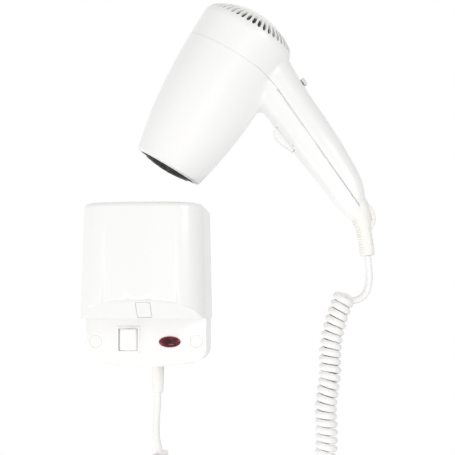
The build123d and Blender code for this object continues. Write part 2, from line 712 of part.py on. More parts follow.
def plunger_inner_end():
    return SWITCH_BACK - SWITCH_DEPTH + PLUNGER_REACH


def microswitch():
    """Snap switch on the shelf behind the trigger, with three tabs and a hole for its plunger."""
    start = TRIGGER_TOP + 1.6
    half = SWITCH_THICK / 2
    body = block((start, start + SWITCH_LENGTH), (-half, half), (SWITCH_BACK - SWITCH_DEPTH, SWITCH_BACK))
    for i in range(3):
        tab = start + 3 + i * (SWITCH_LENGTH - 6) / 2
        body += block((tab - 0.4, tab + 0.4), (half, half + 4), (-3.8, -1.0))
    foot = TRIGGER_TOP + PLUNGER_AT
    hole = rod((foot, 0, -ACROSS), (foot, 0, plunger_inner_end() + PLUNGER_REACH), PLUNGER_RADIUS + PIN_FIT)
    return body - hole


def switch_plunger():
    foot = TRIGGER_TOP + PLUNGER_AT
    return rod((foot, 0, -TRIGGER_INNER + TOUCH_GAP), (foot, 0, plunger_inner_end()), PLUNGER_RADIUS)


def speed_knob():
    """Thumb slide on the rear of the handle, with grip ribs and a stem through the track."""
    half = KNOB_LENGTH / 2
    skin = grip_rear(KNOB_AT - half) + KNOB_LIFT
    face = skin + KNOB_PROUD - KNOB_RIB
    cap = block(span(KNOB_AT, half), span(0, KNOB_HALF_WIDTH), (skin, face))
    cap = fillet(cap.edges().filter_by(Axis.Z), 1.2)
    for i in (-1, 0, 1):
        rib = KNOB_AT + i * KNOB_RIB_PITCH
        cap += block(span(rib, 0.5), span(0, KNOB_HALF_WIDTH - 0.6), (face - 0.2, face + KNOB_RIB))
    low = slider_top() + TOUCH_GAP - 2
    return cap + block(span(KNOB_AT, KNOB_STEM / 2), span(0, KNOB_STEM / 2), (low, skin + 0.1))


def slider_top():
    return grip_rear(KNOB_AT) - SHELL_WALL - SLIDER_ROOM


def speed_switch():
    """Slide switch behind the knob, hung from the rear shell's inner face by its ears."""
    middle, top = KNOB_AT + KNOB_TRAVEL / 2, slider_top()
    half = SLIDER_LENGTH / 2
    body = block(span(middle, half), span(0, SLIDER_HALF_WIDTH), (top - SLIDER_DEPTH, top))
    track = knob_track(top - 2.2, top + 1)
    ears = block(span(middle, half), span(0, SLIDER_HALF_WIDTH), (top - 1, ACROSS))
    between = block(span(middle, half - 2), (-FAR, FAR), (-FAR, FAR))
    return in_grip(body - track) + (in_grip(ears - between) & grip_form(SHELL_WALL + INNER_FIT))


def relief_neck(gap=0.0):
    """Neck and inner flange of the strain relief, or the room for them."""
    height = RELIEF_SECTIONS[0][1]
    inner = GRIP_END - END_WALL
    neck = rod((inner - RELIEF_FLANGE_THICK, 0, height), (GRIP_END + 0.5, 0, height), RELIEF_NECK + gap)
    start, end = (inner - RELIEF_FLANGE_THICK - gap, 0, height), (inner - (gap and INNER_FIT), 0, height)
    return neck + rod(start, end, RELIEF_FLANGE + gap)


def strain_relief():
    """Curved boot with a hanging loop at its root."""
    sections = []
    for x, z, dx, dz, half_depth, half_width in RELIEF_SECTIONS:
        plane = Plane(origin=(x, 0, z), x_dir=(0, 1, 0), z_dir=(dx, 0, dz))
        sections.append(plane * Ellipse(half_width, half_depth))
    path = ThreePointArc(*[(x, 0, z) for x, z in LOOP_POINTS])
    start = Plane(origin=path @ 0, z_dir=path % 0, x_dir=(0, 1, 0))
    loop = sweep(start * Ellipse(LOOP_HALF_WIDTH, LOOP_HALF), path=path)
    return loft(sections) + loop + relief_neck()


def cord_clamp():
    """Saddle that grips the cord inside the end of the handle."""
    shift = grip_middle(CLAMP_AT)[1]
    saddle = block(span(CLAMP_AT, CLAMP_HALF_LENGTH), (-FAR, FAR), span(shift, CLAMP_HALF_DEPTH))
    bore = rod((CLAMP_AT - ACROSS, 0, shift), (CLAMP_AT + ACROSS, 0, shift), WIRE_RADIUS)
    return (in_grip(saddle) & grip_form(SHELL_WALL + INNER_FIT)) - in_grip(bore)


def handle_screws():
    screws = []
    for station in SCREW_STATIONS:
        shank = rod((station, 0, SCREW_SEAT - SCREW_LENGTH), (station, 0, SCREW_SEAT), SCREW_RADIUS)
        head = rod((station, 0, SCREW_SEAT), (station, 0, SCREW_SEAT + SCREW_HEAD_HEIGHT), SCREW_HEAD_RADIUS)
        cross = Box(CROSS_SPAN, CROSS_WIDTH, 1.6) + Box(CROSS_WIDTH, CROSS_SPAN, 1.6)
        screws.append(shank + head - Pos(station, 0, SCREW_SEAT + SCREW_HEAD_HEIGHT) * cross)
    return in_grip(Part() + screws)


# ---------------------------------------------------------------- holder
def hood_share(z):
    return (z - HOOD_RIM) / (HOOD_TOP - HOOD_RIM)


def hood_half(z):
    return HOOD_RIM_HALF + (HOOD_TOP_HALF - HOOD_RIM_HALF) * hood_share(z)


def hood_depth(z):
    return HOOD_RIM_DEPTH + (HOOD_TOP_DEPTH - HOOD_RIM_DEPTH) * hood_share(z)


def hood_outline(half, back, depth, z, corner):
    """Plan of the hood: straight back and sides, a bowed front and rounded front corners."""
    shoulder = depth - HOOD_BOW * (half / HOOD_RIM_HALF) ** 2
    lines = [
        ThreePointArc((-half, -shoulder), (0, -depth), (half, -shoulder)),
        Line((half, -shoulder), (half, -back)),
        Line((half, -back), (-half, -back)),
        Line((-half, -back), (-half, -shoulder)),
    ]
    face = make_face(lines)
    fronts = [v for v in face.vertices() if v.Y < -shoulder + 1]
    return Pos(0, 0, z) * fillet(fronts, corner)


def hood_form(inset, back, low, high):
    ends = []
    for z in (low, high):
        ends.append(hood_outline(hood_half(z) - inset, back, hood_depth(z) - inset, z, HOOD_CORNER - inset))
    return loft(ends)


def above_chin(inset):
    """Everything above the sloping chin plane, moved in by a wall."""
    slope = math.radians(CHIN_SLOPE)
    normal = Vector(0, math.sin(slope), math.cos(slope))
    origin = Vector(0, -CHIN_DEPTH, CHIN_FRONT) + normal * inset
    plane = Plane(origin=origin, x_dir=(1, 0, 0), z_dir=normal)
    return plane.location * Pos(0, 0, FAR / 2) * Box(FAR, FAR, FAR)


def mouth_outline(z):
    half = HOOD_TOP_HALF - MOUTH_MARGIN
    return hood_outline(half, MOUTH_BACK, HOOD_TOP_DEPTH - MOUTH_FRONT_MARGIN, z, HOOD_CORNER - MOUTH_MARGIN)


def hood():
    outer = hood_form(0, 0, HOOD_RIM, HOOD_TOP)
    top = [e for e in outer.edges() if e.center().Z > HOOD_TOP - 0.01 and e.center().Y < -1]
    outer = fillet(top, HOOD_TOP_ROUND) & above_chin(0)
    inner = hood_form(HOOD_WALL, -10, HOOD_RIM + HOOD_WALL, HOOD_TOP - HOOD_WALL) & above_chin(HOOD_WALL)
    shell = outer - inner - extrude(mouth_outline(HOOD_TOP - 2 * HOOD_WALL), 3 * HOOD_WALL)
    return shell - plate_notch(HOOD_RIM + 2 * HOOD_WALL) - latch_place(latch_window() + latch_pins(PIN_FIT))


def latch_plane():
    slope = math.radians(CHIN_SLOPE)
    normal = Vector(0, -math.sin(slope), -math.cos(slope))
    down = Vector(0, math.cos(slope), -math.sin(slope))
    return Plane(origin=(LATCH_X, -CHIN_DEPTH, CHIN_FRONT), x_dir=down, z_dir=normal)


def latch_place(part):
    return latch_plane().location * part


def latch_window():
    half = LATCH_WIDTH / 2 + LATCH_GAP
    return block((LATCH_START - LATCH_GAP, LATCH_START + LATCH_LENGTH + LATCH_GAP), (-half, half), (-8, 4))


def latch_pins(gap=0.0):
    """Stub pins that the tongue turns on, or their holes, midway through the hood's wall."""
    reach = LATCH_WIDTH / 2 + LATCH_GAP + LATCH_PIN_REACH + gap
    middle = LATCH_START + LATCH_LENGTH - HOOD_WALL / 2
    return rod((middle, -reach, -HOOD_WALL / 2), (middle, reach, -HOOD_WALL / 2), LATCH_PIN_RADIUS + gap)


def hood_latch():
    """Snap tongue in the hood's chin, with a catch behind it and a knuckle at its lower edge."""
    half = LATCH_WIDTH / 2
    middle = LATCH_START + LATCH_LENGTH - HOOD_WALL / 2
    tongue = block((LATCH_START, middle), (-half, half), (-HOOD_WALL, LATCH_RAISE))
    tongue += rod((middle, -half, -HOOD_WALL / 2), (middle, half, -HOOD_WALL / 2), HOOD_WALL / 2)
    root, low = LATCH_START + 2, -HOOD_WALL - LATCH_CATCH
    stem = block((root, root + 2), span(0, half - 2), (low, -HOOD_WALL + 0.1))
    hook = block((root, root + 4), span(0, half - 2), (low, low + 1.5))
    return latch_place(tongue + stem + hook + latch_pins())


def plate_notch(top):
    """Room for the wall plate in the back of the hood or the box."""
    half = PLATE_HALF + PLATE_GAP
    return block((-half, half), (-PLATE_THICK - PLATE_GAP, 1), (HOOD_RIM - 2 * HOOD_WALL, top))


def box_outline(inset, top):
    """Front view of the switch box: straight sides, a bowed bottom and rounded lower corners."""
    half, low = BOX_HALF - inset, BOX_CORNER_Z + inset
    bottom = ThreePointArc((-half, 0, low), (0, 0, BOX_BOTTOM + inset), (half, 0, low))
    sides = Polyline((half, 0, low), (half, 0, top), (-half, 0, top), (-half, 0, low))
    face = make_face([bottom, *sides.edges()])
    low = [v for v in face.vertices() if v.Z < top - 1]
    return fillet(low, BOX_CORNER - inset)


def box_prism(inset, top, back, front):
    face = Pos(0, -back, 0) * box_outline(inset, top)
    return extrude(face, front - back, dir=(0, -1, 0))


def bottom_at(x, inset=0.0):
    """Height of the box's bowed bottom at a place across it."""
    half, rise = BOX_HALF - inset, BOX_CORNER_Z - BOX_BOTTOM
    radius = (half**2 + rise**2) / (2 * rise)
    return BOX_BOTTOM + inset + radius - math.sqrt(radius**2 - x**2)


def screw_well(x):
    """Boss round a cover screw, and the stepped bore that takes the screw and its cap."""
    seat = -WELL_FLOOR - BOX_WALL
    boss = rod((x, -BOX_DEPTH + 1, WELL_Z), (x, -WELL_FLOOR, WELL_Z), WELL_RADIUS + WELL_WALL)
    bore = rod((x, -BOX_DEPTH - 1, WELL_Z), (x, -BOX_DEPTH + CAP_SINK + CAP_THICK, WELL_Z), WELL_RADIUS)
    bore += rod((x, -BOX_DEPTH - 1, WELL_Z), (x, seat, WELL_Z), WELL_BORE)
    bore += rod((x, -BOX_DEPTH - 1, WELL_Z), (x, 0, WELL_Z), COVER_SCREW_RADIUS + SCREW_ROOM)
    return boss, bore


def base_housing():
    """Box under the hood, open at the back, for the switch, the lamp and the terminals."""
    outer = box_prism(0, HOOD_RIM, 0, BOX_DEPTH)
    rim = [e for e in outer.edges() if e.center().Y < -BOX_DEPTH + 0.01 and e.center().Z < HOOD_RIM - 1]
    outer = fillet(rim, BOX_EDGE)
    box = outer - box_prism(BOX_WALL, HOOD_RIM - BOX_WALL, -BOX_WALL, BOX_DEPTH - BOX_WALL)
    box -= plate_notch(HOOD_RIM + 1)
    for side in (-1, 1):
        boss, bore = screw_well(side * WELL_X)
        box += boss & box_prism(BOX_EDGE, HOOD_RIM - 1, 0, BOX_DEPTH)
        box -= bore
    wide, tall = span(ROCKER_X, BEZEL_WIDTH / 2 - BEZEL_LIP), span(ROCKER_Z, BEZEL_HEIGHT / 2 - BEZEL_LIP)
    box -= block(wide, (-BOX_DEPTH - 1, -BOX_DEPTH + 2 * BOX_WALL), tall)
    box -= lamp_prism(LAMP_FIT, BOX_DEPTH - 2 * BOX_WALL, BOX_DEPTH + 1)
    low, high = span(bottom_at(GLAND_X), 2 * BOX_WALL)
    return box - rod((GLAND_X, GLAND_Y, low), (GLAND_X, GLAND_Y, high), GLAND_RADIUS + GLAND_FIT)


def wall_plate():
    """Plate that stays on the wall and carries the box, the hood and the cup."""
    low = box_prism(BOX_WALL + PLATE_GAP, HOOD_RIM, 0, PLATE_THICK)
    plate = low & block(span(0, PLATE_HALF), (-FAR, FAR), (-FAR, FAR))
    top = HOOD_TOP - HOOD_WALL - PLATE_GAP
    plate += block(span(0, PLATE_HALF), (-PLATE_THICK, 0), (HOOD_RIM - 1, top))
    for side in (-1, 1):
        x = side * WELL_X
        plate += rod((x, -1, WELL_Z), (x, -WELL_FLOOR, WELL_Z), POST_RADIUS)
        plate -= rod((x, -COVER_SCREW_LENGTH / 2, WELL_Z), (x, -FAR, WELL_Z), COVER_SCREW_RADIUS + THREAD_FIT)
        rail = (-MOUTH_BACK + CUP_THICK, -PLATE_THICK + 0.5)
        plate += block(span(side * RAIL_X, RAIL_HALF), rail, (0, RAIL_TOP))
        for z in (WALL_HOLE_TOP, WALL_HOLE_LOW):
            plate -= rod((side * WALL_HOLE_X, -FAR, z), (side * WALL_HOLE_X, FAR, z), WALL_HOLE_RADIUS)
    return plate - rod((ENTRY_X, -FAR, ENTRY_Z), (ENTRY_X, FAR, ENTRY_Z), ENTRY_RADIUS)


def cradle_floor(offset):
    """Everything on the dryer's side of the plane that its nozzle rim rests on when docked."""
    depth = DOCK_TRAVEL + DOCK_GAP + offset
    return in_hand(Pos(0, 0, FAR / 2 - depth) * Box(FAR, FAR, FAR))


def cradle_cup():
    """Cup under the hood's mouth with a sloping, vented floor square to the docked barrel."""
    top = HOOD_TOP - HOOD_WALL
    inset = HOOD_WALL + CUP_SIDE_GAP
    outer = hood_form(inset, MOUTH_BACK - CUP_THICK, HOOD_RIM, top)
    inner = hood_form(inset + CUP_THICK, MOUTH_BACK, HOOD_RIM, HOOD_TOP)
    cup = (outer & cradle_floor(CUP_THICK)) - (inner & cradle_floor(0))
    low, high = span(-DOCK_TRAVEL, CUP_VENT / 2)
    return cup - in_hand(rod((0, 0, low), (0, 0, high), CUP_VENT))


def cover_screws():
    """Screws at the foot of the wells that hold the box to the wall plate."""
    screws = []
    for side in (-1, 1):
        x, seat = side * WELL_X, -WELL_FLOOR - BOX_WALL
        shank = rod((x, seat, WELL_Z), (x, seat + COVER_SCREW_LENGTH, WELL_Z), COVER_SCREW_RADIUS)
        head = rod((x, seat - COVER_HEAD_HEIGHT, WELL_Z), (x, seat, WELL_Z), COVER_HEAD_RADIUS)
        bars = Box(CROSS_SPAN, COVER_HEAD_HEIGHT, CROSS_WIDTH)
        bars += Box(CROSS_WIDTH, COVER_HEAD_HEIGHT, CROSS_SPAN)
        screws.append(shank + head - Pos(x, seat - COVER_HEAD_HEIGHT, WELL_Z) * bars)
    return Part() + screws


def screw_caps():
    """Flush caps that close the screw wells."""
    face = -BOX_DEPTH + CAP_SINK
    caps = []
    for side in (-1, 1):
        x = side * WELL_X
        caps.append(rod((x, face, WELL_Z), (x, face + CAP_THICK, WELL_Z), WELL_RADIUS - CAP_FIT))
    return Part() + caps


# ---------------------------------------------------------------- switch and lamp
def rocker_bezel():
    """Body and frame of the mains switch, hollow where the rocker tips from side to side."""
    half, tall = BEZEL_WIDTH / 2, BEZEL_HEIGHT / 2
    face = -BOX_DEPTH
    frame = block((-half, half), (face - BEZEL_PROUD, face), (-tall, tall))
    frame = fillet([e for e in frame.edges() if e.center().Y < face - BEZEL_PROUD + 0.01], BEZEL_ROUND)
    back = face + ROCKER_BODY_DEPTH
    wide, high = half - BEZEL_LIP - 0.1, tall - BEZEL_LIP - 0.1
    body = block((-wide, wide), (face, back), (-high, high))
    for x in (-wide / 2, wide / 2):
        body += block(span(x, TAB_HALF_THICK), (back - 0.1, back + SWITCH_TAB), span(0, TAB_HALF_HEIGHT))
    room, reach = ROCKER_WIDTH / 2 + ROCKER_GAP, ROCKER_REACH + ROCKER_GAP
    pivot = face + ROCKER_PIVOT
    hollow = rod((0, pivot, -room), (0, pivot, room), reach)
    hollow += block(span(0, reach), (face - 2 * BEZEL_PROUD, pivot), span(0, room))
    hollow -= block((-FAR, FAR), (pivot + ROCKER_REACH - ROCKER_FLOOR, FAR), (-FAR, FAR))
    switch = frame + body - hollow
    axle = room + AXLE_SEAT
    switch -= rod((0, pivot, -axle), (0, pivot, axle), PIN_RADIUS + PIN_FIT)
    return Pos(ROCKER_X, 0, ROCKER_Z) * switch


def rocker():
    """Two-faced rocker on stub axles, drawn with its left half pressed in."""
    pivot = -BOX_DEPTH + ROCKER_PIVOT
    half = ROCKER_WIDTH / 2
    tip = math.radians(ROCKER_TIP)
    out, drop = FAR * math.cos(tip), FAR * math.sin(tip) - ROCKER_CREST
    wedge = Polyline((0, -ROCKER_CREST), (out, drop), (out, FAR), (-out, FAR), (-out, drop), close=True)
    body = Cylinder(ROCKER_REACH, ROCKER_WIDTH) & extrude(make_face(wedge), ROCKER_WIDTH, both=True)
    ends = [e for e in body.edges().filter_by(Axis.Z) if abs(e.center().X) > ROCKER_REACH / 2]
    body = fillet(ends, ROCKER_ROUND)
    body -= block((-FAR, FAR), (ROCKER_UNDERSIDE, FAR), (-FAR, FAR))
    axle = half + AXLE_SEAT - ROCKER_GAP
    body += rod((0, 0, -axle), (0, 0, axle), PIN_RADIUS)
    return Pos(ROCKER_X, pivot, ROCKER_Z) * (Rot(Z=-ROCKER_TIP) * body)


def lamp_prism(grow, back, front):
    face = Plane(origin=(LAMP_X, -back, LAMP_Z), x_dir=(1, 0, 0), z_dir=(0, -1, 0))
    return extrude(face * Ellipse(LAMP_HALF_WIDTH + grow, LAMP_HALF_HEIGHT + grow), front - back)


def lamp_lens():
    """Oval red lens, domed in front and flanged behind the panel."""
    back = BOX_DEPTH - BOX_WALL - LAMP_FLANGE_THICK
    stem = lamp_prism(0, back, BOX_DEPTH + LAMP_PROUD + 2 * LAMP_DOME)
    flange = lamp_prism(LAMP_FLANGE, back, BOX_DEPTH - BOX_WALL)
    rim_share = math.sqrt(1 - 1 / LAMP_SPREAD**2)
    height = LAMP_DOME / (1 - rim_share)
    half = LAMP_HALF_WIDTH * LAMP_SPREAD
    dome = scale(Sphere(half), (1, height / half, LAMP_HALF_HEIGHT / LAMP_HALF_WIDTH))
    middle = BOX_DEPTH + LAMP_PROUD - height * rim_share
    front = block((-FAR, FAR), (-FAR, -middle), (-FAR, FAR))
    stem -= front - Pos(LAMP_X, -middle, LAMP_Z) * dome
    return stem + flange


def lamp_body():
    """Neon lamp in its holder behind the lens."""
    back = BOX_DEPTH - BOX_WALL - LAMP_FLANGE_THICK
    holder = lamp_prism(LAMP_FLANGE, back - 2 * LAMP_FLANGE_THICK, back)
    holder += rod((LAMP_X, -back, LAMP_Z), (LAMP_X, -back + LAMP_BODY_LENGTH, LAMP_Z), LAMP_BODY_RADIUS)
    for side in (-1.6, 1.6):
        end = -back + LAMP_BODY_LENGTH
        holder += rod((LAMP_X + side, end - 0.5, LAMP_Z), (LAMP_X + side, end + 6, LAMP_Z), 0.5)
    return holder


# ---------------------------------------------------------------- gland, terminals and cord
def cord_gland():
    outside = bottom_at(GLAND_X)
    seat = bottom_at(GLAND_X + GLAND_FLANGE) + BOX_WALL + 0.1
    end = outside - GLAND_LENGTH
    bore = WIRE_RADIUS + 0.1
    body = turned([
        (bore, end), (GLAND_END_RADIUS - 0.8, end), (GLAND_END_RADIUS, end + 0.8), (GLAND_RADIUS, outside),
        (GLAND_RADIUS, seat), (GLAND_FLANGE, seat),
        (GLAND_FLANGE, seat + GLAND_FLANGE_THICK), (bore, seat + GLAND_FLANGE_THICK),
    ])
    return Pos(GLAND_X, GLAND_Y, 0) * body


def cord_anchor():
    """Post on the wall plate that holds the cord against a pull."""
    low, front = BOX_BOTTOM + ANCHOR_RISE, GLAND_Y - 2 * WIRE_RADIUS
    high = low + ANCHOR_TALL
    post = block(span(GLAND_X, ANCHOR_HALF), (front, -PLATE_THICK), (low, high))
    return post - rod((GLAND_X, GLAND_Y, low - 1), (GLAND_X, GLAND_Y, high + 1), WIRE_RADIUS + 0.1)


def terminal_places():
    pitch = BLOCK_SIZE[0] / BLOCK_POLES
    return [BLOCK_X + pitch * (i - (BLOCK_POLES - 1) / 2) for i in range(BLOCK_POLES)]


def terminal_block():
    width, depth, height = BLOCK_SIZE
    front = -PLATE_THICK - depth
    body = block(span(BLOCK_X, width / 2), (front, -PLATE_THICK), span(BLOCK_Z, height / 2))
    for x in terminal_places():
        body -= rod((x, front - 1, BLOCK_Z), (x, front + BLOCK_BORE_DEPTH, BLOCK_Z), BLOCK_BORE)
        body -= rod((x, front + 7, BLOCK_Z + height), (x, front + 7, BLOCK_Z + height / 2 - 5), 2.0)
    return body


def terminal_screws():
    front = -PLATE_THICK - BLOCK_SIZE[1]
    screws = []
    for x in terminal_places():
        head = front + BLOCK_SCREW_SINK
        screw = rod((x, head, BLOCK_Z), (x, front + BLOCK_BORE_DEPTH, BLOCK_Z), BLOCK_SCREW_RADIUS)
        screws.append(screw - Pos(x, head, BLOCK_Z) * Box(BLOCK_BORE_DEPTH, 1.6, 0.8))
    return Part() + screws


def cord_path(points):
    """Straight runs joined by the largest tangent arcs that the runs allow, and its radii."""
    points = [Vector(*p) for p in points]
    radii = []
    for before, here, after in zip(points, points[1:], points[2:]):
        half_turn = math.radians((here - before).get_angle(after - here)) / 2
        shorter = min((here - before).length, (after - here).length)
        radii.append(0.45 * shorter / math.tan(half_turn))
    return FilletPolyline(*points, radius=radii), radii


def cord_tube(name, points, radius):
    path, radii = cord_path(points)
    start = Plane(origin=path @ 0, z_dir=path % 0)
    solid = sweep(start * Circle(radius), path=path)
    section = math.pi * radius**2 * path.length
    print(f"{name}: length {path.length:.1f}, volume {solid.volume:.0f} against {section:.0f}, "
          f"radii {', '.join(f'{r:.0f}' for r in radii)}")
    return solid


# ---------------------------------------------------------------- write every piece
def dryer_parts():
    """Pieces in the dryer's frame."""
    body = dryer_body()
    hollow = barrel_form(SHELL_WALL, MOUTH_DEPTH) + grip_form(SHELL_WALL)
    region = front_region()
    return {
        "front_shell": front_shell(body, hollow, region),
        "rear_shell": rear_shell(body, hollow, region),
        "outlet_grille": outlet_grille(),
        "heat_shield": heat_shield(),
        "heater_former": heater_former(),
        "heating_coil": heating_coil(),
        "thermal_cutout": thermal_cutout(),
        "fan_duct": fan_duct(),
        "motor_can": motor_can(),
        "motor_armature": motor_armature(),
        "motor_shaft": motor_shaft(),
        "rectifier_board": rectifier_board(),
        "fan_impeller": fan_impeller(),
        "intake_screen": intake_screen(),
        "trigger": in_grip(trigger()),
        "trigger_pin": in_grip(trigger_pin()),
        "microswitch": in_grip(microswitch()),
        "switch_plunger": in_grip(switch_plunger()),
        "speed_knob": in_grip(speed_knob()),
        "speed_switch": speed_switch(),
        "strain_relief": strain_relief(),
        "cord_clamp": cord_clamp(),
        "handle_screws": handle_screws(),
    }


def world_parts():
    """Pieces in the world frame: the holder and the cord."""
    return {
        "wall_plate": wall_plate(),
        "hood": hood(),
        "hood_latch": hood_latch(),
        "base_housing": base_housing(),
        "cradle_cup": cradle_cup(),
        "cover_screws": cover_screws(),
        "screw_caps": screw_caps(),
        "rocker_bezel": rocker_bezel(),
        "rocker": rocker(),
        "lamp_lens": lamp_lens(),
        "lamp_body": lamp_body(),
        "cord_gland": cord_gland(),
        "cord_anchor": cord_anchor(),
        "terminal_block": terminal_block(),
        "terminal_screws": terminal_screws(),
        "inner_cord": cord_tube("inner_cord", INNER_CORD, WIRE_RADIUS),
        "cord_tail_upper": cord_tube("cord_tail_upper", TAIL_TOP, WIRE_RADIUS),
        "cord_curl": cord_tube("cord_curl", CURL_SPINE, CURL_RADIUS),
        "cord_tail_lower": cord_tube("cord_tail_lower", TAIL_LOW, WIRE_RADIUS),
    }


os.makedirs("parts", exist_ok=True)
pieces = {name: in_hand(part) for name, part in dryer_parts().items()}
pieces.update(world_parts())
for name, part in pieces.items():
    part.label = name
    export_step(part, f"parts/{name}.step")
print(len(pieces), "nodes")
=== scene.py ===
# %% [markdown]
# # A wall-mounted hair dryer
# The dryer, its holder and its curly cord come from CAD as a fixed frame. This script gives them smooth
# surfaces, finishes, the ribs of the strain relief and the coils of the cord, then lights and frames them.
# Everything is in metres: +X is right, +Y goes into the wall and +Z is up.

# %% Load the frame
import json
import math

import bmesh
import bpy
from mathutils import Matrix, Vector


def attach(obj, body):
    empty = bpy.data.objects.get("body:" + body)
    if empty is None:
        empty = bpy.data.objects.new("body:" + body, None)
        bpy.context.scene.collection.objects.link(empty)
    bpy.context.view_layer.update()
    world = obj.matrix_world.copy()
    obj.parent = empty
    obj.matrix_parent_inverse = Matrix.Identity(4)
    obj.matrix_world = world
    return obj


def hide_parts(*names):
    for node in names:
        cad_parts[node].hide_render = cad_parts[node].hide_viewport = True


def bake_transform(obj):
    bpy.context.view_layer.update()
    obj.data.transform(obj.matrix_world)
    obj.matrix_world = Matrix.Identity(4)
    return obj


MM = 0.001
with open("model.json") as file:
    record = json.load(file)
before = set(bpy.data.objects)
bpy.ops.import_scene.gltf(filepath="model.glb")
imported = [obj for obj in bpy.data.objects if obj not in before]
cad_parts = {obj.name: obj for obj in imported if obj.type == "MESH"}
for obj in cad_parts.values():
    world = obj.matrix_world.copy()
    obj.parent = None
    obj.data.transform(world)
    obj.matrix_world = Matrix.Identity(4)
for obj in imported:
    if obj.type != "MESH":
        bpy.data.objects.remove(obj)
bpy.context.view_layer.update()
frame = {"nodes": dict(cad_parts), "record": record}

# %% [markdown]
# ## Where the dryer is held
# The dryer hangs tilted above its cup. One matrix takes a point from the dryer's own frame, in millimetres
# with Z along the barrel and X towards the handle, to the scene. New parts of the dryer are drawn in that
# simple frame and moved by the matrix once, which is easier than drawing them tilted.

# %% The dryer's frame
HAND_TILT = math.radians(31.0)
HAND_ORIGIN = Vector((18.45, -48.5, 103.2))
across = Vector((math.cos(HAND_TILT), 0, -math.sin(HAND_TILT)))
along = Vector((math.sin(HAND_TILT), 0, math.cos(HAND_TILT)))
hand = Matrix((across, (0, 1, 0), along)).transposed().to_4x4()
hand = Matrix.Scale(MM, 4) @ Matrix.Translation(HAND_ORIGIN) @ hand


# %% [markdown]
# ## Finishes from shader maths
# Procedural finishes are sums and products of textures. Writing each Math node by hand hides the idea, so a
# small class wraps a socket and turns `+` and `*` into Math nodes. A second class holds the nodes of one
# material, or of the world, and adds every other kind of node.

# %% Signals and their wiring
class Signal:
    """An output socket that can be used in arithmetic."""

    def __init__(self, wiring, socket):
        self.wiring = wiring
        self.socket = socket

    def math(self, operation, first, second):
        return self.wiring.node("ShaderNodeMath", {"operation": operation}, {0: first, 1: second})

    def __add__(self, other):
        return self.math("ADD", self, other)

    def __radd__(self, other):
        return self.math("ADD", other, self)

    def __mul__(self, other):
        return self.math("MULTIPLY", self, other)

    def __rmul__(self, other):
        return self.math("MULTIPLY", other, self)


class Wiring:
    """The nodes of one material or of the world, and the links between them."""

    def __init__(self, owner):
        owner.use_nodes = True
        self.tree = owner.node_tree

    def feed(self, socket, value):
        """Link a signal to a socket, or set the socket to a plain value."""
        if isinstance(value, Signal):
            self.tree.links.new(value.socket, socket)
        else:
            socket.default_value = value

    def node(self, kind, settings=None, inputs=None, output=0):
        """Add a node with its settings, feed its sockets and hand back one of its outputs."""
        made = self.tree.nodes.new(kind)
        for name, value in (settings or {}).items():
            if name == "stops":
                ramp = made.color_ramp
                while len(ramp.elements) < len(value):
                    ramp.elements.new(0.5)
                for element, (position, color) in zip(ramp.elements, value):
                    element.position = position
                    element.color = color
            else:
                setattr(made, name, value)
        for name, value in (inputs or {}).items():
            self.feed(made.inputs[name], value)
        return Signal(self, made.outputs[output])


# %% [markdown]
# ## One material, many textures
# Every finish of this dryer is a Principled shader whose colour, roughness and bump come from a few kinds of
# texture. They read Object coordinates, so a pattern stays on its piece when the piece moves. The texture
# nodes could be set up anew for each finish, but a method for each kind keeps a finish down to a few lines.

# %% Finishes
class Finish(Wiring):
    """One material with a Principled shader, and the textures that feed it."""

    def __init__(self, name):
        self.material = bpy.data.materials.new(name)
        super().__init__(self.material)
        self.shader = self.tree.nodes["Principled BSDF"]
        self.place = self.node("ShaderNodeTexCoord", output="Object")

    def noise(self, scale, detail=2.0, roughness=0.5, place=None):
        inputs = {"Vector": place or self.place, "Scale": scale, "Detail": detail, "Roughness": roughness}
        return self.node("ShaderNodeTexNoise", None, inputs, "Fac")

    def cells(self, scale):
        return self.node("ShaderNodeTexVoronoi", None, {"Vector": self.place, "Scale": scale}, "Distance")

    def vector_math(self, operation, first, second):
        return self.node("ShaderNodeVectorMath", {"operation": operation}, {0: first, 1: second})

    def ramp(self, value, stops):
        return self.node("ShaderNodeValToRGB", {"stops": stops}, {"Fac": value}, "Color")

    def mix(self, mask, first, second):
        inputs = {"Factor": mask, 6: first, 7: second}
        return self.node("ShaderNodeMix", {"data_type": "RGBA"}, inputs, 2)

    def bump(self, height, strength, distance):
        inputs = {"Height": height, "Strength": strength, "Distance": distance}
        return self.node("ShaderNodeBump", None, inputs, "Normal")

    def set(self, **sockets):
        """Feed the shader's sockets by their names and hand back the finished material."""
        for name, value in sockets.items():
            self.feed(self.shader.inputs[name.replace("_", " ")], value)
        return self.material


def rgb(red, green, blue):
    return (red, green, blue, 1.0)


# %% [markdown]
# ## Glossy white plastic
# The shells are injection-moulded ABS: a clean white with a hard polish. Real mouldings are never perfectly
# even, so a broad noise shifts the tone by less than a percent, a finer one varies the roughness like faint
# handling marks, and a very shallow bump gives the slight waviness that polished plastic shows in its
# highlights. A painted image could hold the same marks, but noise has no seams and needs no unwrapping.

# %% Moulded plastics
CLOUD_SCALE = 9.0
MARK_SCALE = 160.0
MARK_SHARE = 0.05
WAVE_SCALE = 55.0
WAVE_STRENGTH = 0.01
WAVE_HEIGHT = 0.6 * MM


def moulded_plastic(name, light, dark, roughness, coat=0.0):
    finish = Finish(name)
    cloud = finish.noise(CLOUD_SCALE, detail=3.0)
    marks = finish.noise(MARK_SCALE, detail=3.0, roughness=0.6)
    waves = finish.noise(WAVE_SCALE)
    return finish.set(
        Base_Color=finish.mix(cloud, dark, light),
        Roughness=roughness + MARK_SHARE * marks,
        Coat_Weight=coat,
        Coat_Roughness=0.08,
        Normal=finish.bump(waves, WAVE_STRENGTH, WAVE_HEIGHT),
    )


